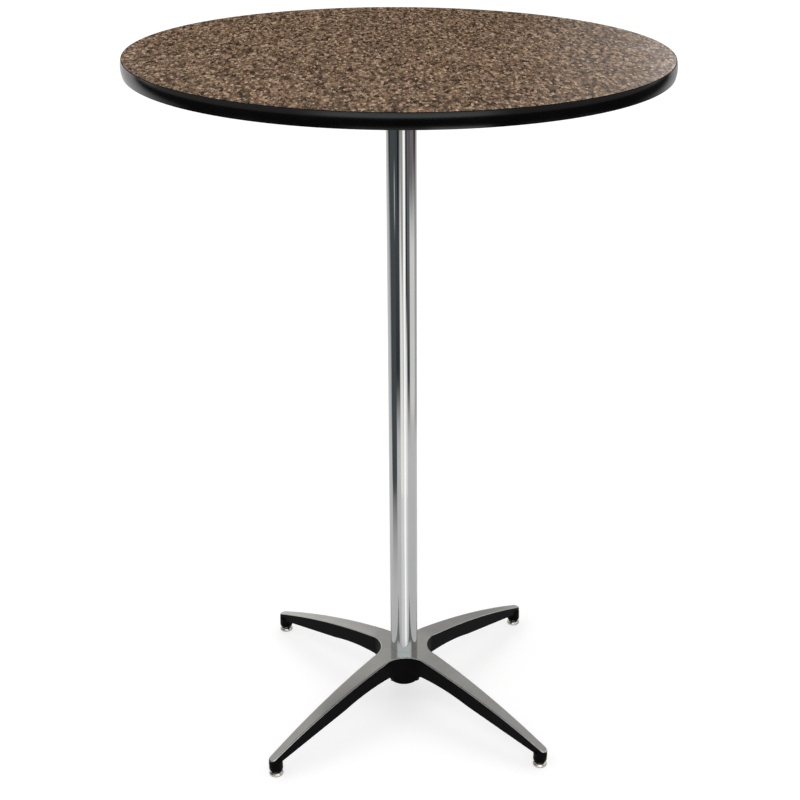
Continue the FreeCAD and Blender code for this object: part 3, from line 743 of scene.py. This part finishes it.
def make_floor():
    """A plain white floor that keeps soft shadows, with light and dark patches for reflections."""
    bpy.ops.mesh.primitive_plane_add(size=FLOOR_SIZE)
    floor = bpy.context.object
    floor.name = "studio_floor"
    finish, place = new_finish("studio_floor_paint")
    spot = put(finish, "SeparateXYZ", {0: place}).outputs
    reach = put(finish, "VectorMath", {0: place}, operation="LENGTH").outputs["Value"]
    ahead = times(finish, spot[1], -1.0)
    bearing = maths(finish, "DEGREES", maths(finish, "ARCTAN2", spot[0], ahead))
    pale = pale_floor(finish, spot, reach, bearing)
    glow = times(finish, pale, FLOOR_TO_GLOSS)
    near = between(finish, reach, *STRIP_REACH)
    for bearings, strip_glow in STRIPS:
        strip = times(finish, between(finish, bearing, *bearings), near)
        glow = lean(finish, strip, glow, strip_glow)
    rays = put(finish, "LightPath").outputs
    to_camera = times(finish, rays["Is Camera Ray"], FLOOR_TO_CAMERA)
    to_gloss = times(finish, rays["Is Glossy Ray"], glow)
    shaded = times(finish, rays["Is Glossy Ray"], maths(finish, "SUBTRACT", 1.0, pale))
    # Clear from below, so that the underside of the table can be looked at
    from_below = put(finish, "NewGeometry").outputs["Backfacing"]
    set_shader(
        finish, Base_Color=blend(finish, shaded, FLOOR_COLOUR, FLOOR_SHADE), Roughness=FLOOR_ROUGHNESS,
        Specular_IOR_Level=0.0, Emission_Color=(*WHITE, 1.0),
        Emission_Strength=maths(finish, "ADD", to_camera, to_gloss),
        Alpha=maths(finish, "SUBTRACT", 1.0, from_below),
    )
    floor.data.materials.append(finish)


# The light round the table; a direction is told by the parts of its unit vector along X, Y and Z
AMBIENT_HIGH = 1.3
AMBIENT_LOW = 0.05
AMBIENT_Z = (0.45, 0.75)
DIMMED_X = (-0.1, 0.35)
DIMMED_SHARE = 0.80
WALLS_Z = (0.55, 0.35)
WALLS_Y = (0.35, 0.60)
LEFT_WALL_X = (-0.02, -0.28)
RIGHT_WALL_X = (0.25, 0.55)
LEFT_WALL = (0.80, 0.79, 0.77, 1.0)
RIGHT_WALL = (0.60, 0.595, 0.58, 1.0)
LAMP_ROW_Z = (0.0, 0.05, 0.12, 0.28)
LAMP_ROW_Y = (-0.72, -0.92)
LAMP_BANK_Z = (0.4, 0.6)
LAMP_BANK_Y = (-0.25, -0.5)
LAMP_BLUE = (1.17, 1.27, 1.32, 1.0)


def studio_light(world, direction):
    """What reflections see round the table, by the direction they look in."""
    x, y, z = direction
    graded = ramp(world, z, (
        (0.00, (0.30, 0.30, 0.30)), (0.25, (0.40, 0.40, 0.40)), (0.50, (0.45, 0.45, 0.44)),
        (0.75, (0.46, 0.46, 0.45)), (1.0, (0.55, 0.55, 0.55)),
    ))
    to_the_right = spread(world, x, *DIMMED_X, 1.0, DIMMED_SHARE)
    graded = blend(world, 1.0, graded, to_the_right, "MULTIPLY")
    behind = times(world, spread(world, z, *WALLS_Z), spread(world, y, *WALLS_Y))
    left = times(world, behind, spread(world, x, *LEFT_WALL_X))
    right = times(world, behind, spread(world, x, *RIGHT_WALL_X))
    graded = blend(world, left, graded, LEFT_WALL)
    graded = blend(world, right, graded, RIGHT_WALL)
    # Bluish lamps in front: a narrow row low down and a wide bank above
    row = times(world, between(world, z, *LAMP_ROW_Z), spread(world, y, *LAMP_ROW_Y))
    bank = times(world, spread(world, z, *LAMP_BANK_Z), spread(world, y, *LAMP_BANK_Y))
    return blend(world, maths(world, "MAXIMUM", row, bank), graded, LAMP_BLUE)


def make_surround():
    """Soft light from above for the surfaces, white to the camera, a graded studio for reflections."""
    world = bpy.data.worlds.new("studio_surround")
    bpy.context.scene.world = world
    world.use_nodes = True
    direction = put(world, "SeparateXYZ", {0: put(world, "TexCoord").outputs["Generated"]}).outputs
    studio = studio_light(world, direction)
    from_above = spread(world, direction[2], *AMBIENT_Z, AMBIENT_LOW, AMBIENT_HIGH)
    rays = put(world, "LightPath").outputs
    colour = blend(world, rays["Is Glossy Ray"], from_above, studio)
    colour = blend(world, rays["Is Camera Ray"], colour, (*WHITE, 1.0))
    connect(world, world.node_tree.nodes["Background"].inputs["Color"], colour)


# Between one bounce of a reflection and two
FIRST_BOUNCE = 1.5


def make_card(name, place, turns, size, colour, strength=1.0, soft=0.2, foot=0.2, head=0.2):
    """A studio card that only reflections see, with soft sides, foot and head.

    It starts flat, is tilted up and then turned about Z, both in degrees. The shares of its width and
    height over which it fades are soft, foot and head.
    """
    tilt, turn = (math.radians(angle) for angle in turns)
    bpy.ops.mesh.primitive_plane_add(size=1.0, location=place, rotation=(tilt, 0.0, turn))
    card = bpy.context.object
    card.name = name
    card.scale = (*size, 1.0)
    bpy.ops.object.transform_apply(location=True, rotation=True, scale=True)
    finish = bpy.data.materials.new(name + "_cloth")
    finish.use_nodes = True
    finish.node_tree.nodes.remove(finish.node_tree.nodes["Principled BSDF"])
    spot = put(finish, "SeparateXYZ", {0: put(finish, "TexCoord").outputs["UV"]}).outputs
    sides = spread(finish, maths(finish, "PINGPONG", spot[0], 0.5), 0.0, soft)
    ends = between(finish, spot[1], 0.0, foot, 1.0 - head, 1.0)
    glow = put(finish, "Emission", {"Color": (*colour, 1.0), "Strength": strength}).outputs[0]
    clear = put(finish, "BsdfTransparent").outputs[0]
    # A reflection of a reflection sees past the card
    bounces = put(finish, "LightPath").outputs["Glossy Depth"]
    first = maths(finish, "LESS_THAN", bounces, FIRST_BOUNCE)
    cover = times(finish, first, times(finish, sides, ends))
    cloth = put(finish, "MixShader", {0: cover, 1: clear, 2: glow}).outputs[0]
    connect(finish, finish.node_tree.nodes["Material Output"].inputs["Surface"], cloth)
    card.data.materials.append(finish)
    card.visible_camera = False
    card.visible_diffuse = False
    card.visible_shadow = False


UPRIGHT = 90.0
HARD_END = 0.001


def make_column_card(name, bearings, heights, colour, strength=1.0, soft=0.12):
    """An upright card in front of the table, between two bearings from the front towards the right.

    It is clear at the first height, full from the second to the third, and clear again at the fourth.
    """
    start, end = bearings
    low, full_low, full_high, high = heights
    bearing = math.radians((start + end) / 2.0)
    width = 2.0 * CARD_REACH * math.tan(math.radians((end - start) / 2.0))
    height = high - low
    place = (CARD_REACH * math.sin(bearing), -CARD_REACH * math.cos(bearing), low + height / 2.0)
    foot = max((full_low - low) / height, HARD_END)
    head = max((high - full_high) / height, HARD_END)
    turns = (UPRIGHT, math.degrees(bearing))
    make_card(name, place, turns, (width, height), colour, strength, soft, foot, head)


def make_lamp(name, place, aim, size, power):
    """A square softbox aimed at a point."""
    bpy.ops.object.light_add(type="AREA", location=place)
    lamp = bpy.context.object
    lamp.name = name
    lamp.rotation_euler = (Vector(aim) - Vector(place)).to_track_quat("-Z", "Y").to_euler()
    lamp.data.size = size
    lamp.data.energy = power
    lamp.visible_glossy = False


make_floor()
make_surround()
make_lamp("softbox_overhead", place=(-1.0, -0.8, 5.0), aim=(0.0, 0.0, 0.6), size=3.0, power=25.0)

# Cards round the front of the table, which draw the streaks down the column
SLATE = (0.085, 0.105, 0.112)
SLATE_DEEP = (0.082, 0.092, 0.099)
SLATE_PALE = (0.165, 0.185, 0.195)
LINE_PALE = (0.36, 0.39, 0.40)
NEAR_BLACK = (0.016, 0.017, 0.020)
WARM_GREY = (0.48, 0.47, 0.455)
WARM_WHITE = (1.0, 0.985, 0.955)
CREAM_WHITE = (1.0, 0.985, 0.96)
SOFT_WHITE = (1.0, 0.995, 0.98)
MAUVE = (0.25, 0.20, 0.225)
# A card that stands on the floor is full from just above it
STANDING = 0.001
# The left card fades in from below the floor, so that most of it is there at floor level
make_column_card("slate_left", (-102, -48), (-0.178, 0.10, CARD_TOP, CARD_TOP), SLATE)
make_column_card("pale_line_left", (-63, -51), (0.56, 0.635, 0.675, 0.74), LINE_PALE, 1.8, 0.45)
make_column_card("slate_middle", (-54, -17.5), (0.09, 0.635, CARD_TOP, CARD_TOP), SLATE_DEEP)
make_column_card("black_middle", (-42.5, -20.5), (0.55, 0.71, CARD_TOP, CARD_TOP), NEAR_BLACK, 1.0, 0.3)
make_column_card("warm_upper", (-20.5, 8.5), (0.39, 0.58, CARD_TOP, CARD_TOP), WARM_GREY, 1.0, 0.25)
make_column_card("warm_front", (-24, 8.5), (0.0, STANDING, 0.49, 0.79), WARM_WHITE, 1.25, 0.3)
make_column_card("white_line_front", (3, 28.5), (0.0, STANDING, CARD_TOP, CARD_TOP), SOFT_WHITE, 1.65, 0.3)
make_column_card("white_right_of_line", (17.5, 39), (0.0, STANDING, 0.27, 0.48), SOFT_WHITE, 1.20, 0.3)
make_column_card("slate_right", (35, 58.5), (0.15, 0.59, CARD_TOP, CARD_TOP), SLATE_PALE, 1.0, 0.2)
make_column_card("light_right", (55.5, 116), (0.09, 0.22, 0.52, 0.765), CREAM_WHITE, 0.98, 0.14)
make_column_card("mauve_right", (57.5, 102.5), (0.59, 0.765, CARD_TOP, CARD_TOP), MAUVE)

# Cards behind the table: one keeps the laminate deep, one hazes its right end
FACING_FRONT = (UPRIGHT, 180.0)
FLAG_BLACK = (0.02, 0.02, 0.02)
make_card(
    "dark_flag_back", (-0.11, 0.62, 1.32), FACING_FRONT, (0.92, 0.49), FLAG_BLACK,
    soft=0.13, foot=0.02, head=0.3,
)
make_card(
    "bright_panel_back", (1.45, 1.50, 1.31), FACING_FRONT, (1.80, 0.46), WHITE,
    strength=3.9, soft=0.15, foot=0.1, head=0.3,
)
# Shelf that keeps the bright panel off the legs
LYING = (0.0, 0.0)
SHELF_GREY = (0.36, 0.36, 0.355)
make_card(
    "shelf_under_panel", (1.28, 1.17, 1.055), LYING, (1.56, 0.64), SHELF_GREY,
    soft=0.05, foot=0.05, head=0.05,
)
# Softbox for the edges of the legs
make_card("softbox_left", (-1.4, -0.1, 1.6), (135.0, -90.0), (1.0, 1.0), WHITE, strength=2.5, soft=0.3)


# Camera of the photograph

CAMERA_PLACE = (-0.0649, -2.0648, 1.4481)
CAMERA_HEADING = 4.152
CAMERA_PITCH = 23.808
CAMERA_ROLL = 0.635
CAMERA_LENS = 66.153
CAMERA_SENSOR = 36.0
CAMERA_SHIFT = -0.0724


def make_camera():
    """The camera solved from the photograph: heading right of +Y, pitch down, roll about its axis."""
    bpy.ops.object.camera_add(location=CAMERA_PLACE)
    camera = bpy.context.object
    camera.name = "photograph_camera"
    heading = Matrix.Rotation(math.radians(-CAMERA_HEADING), 4, "Z")
    tilt = Matrix.Rotation(math.radians(90.0 - CAMERA_PITCH), 4, "X")
    roll = Matrix.Rotation(math.radians(CAMERA_ROLL), 4, "Z")
    camera.matrix_world = Matrix.Translation(CAMERA_PLACE) @ heading @ tilt @ roll
    camera.data.lens = CAMERA_LENS
    camera.data.sensor_width = CAMERA_SENSOR
    camera.data.sensor_fit = "HORIZONTAL"
    camera.data.shift_x = CAMERA_SHIFT
    bpy.context.scene.camera = camera


make_camera()
bpy.context.scene.view_settings.view_transform = "Standard"
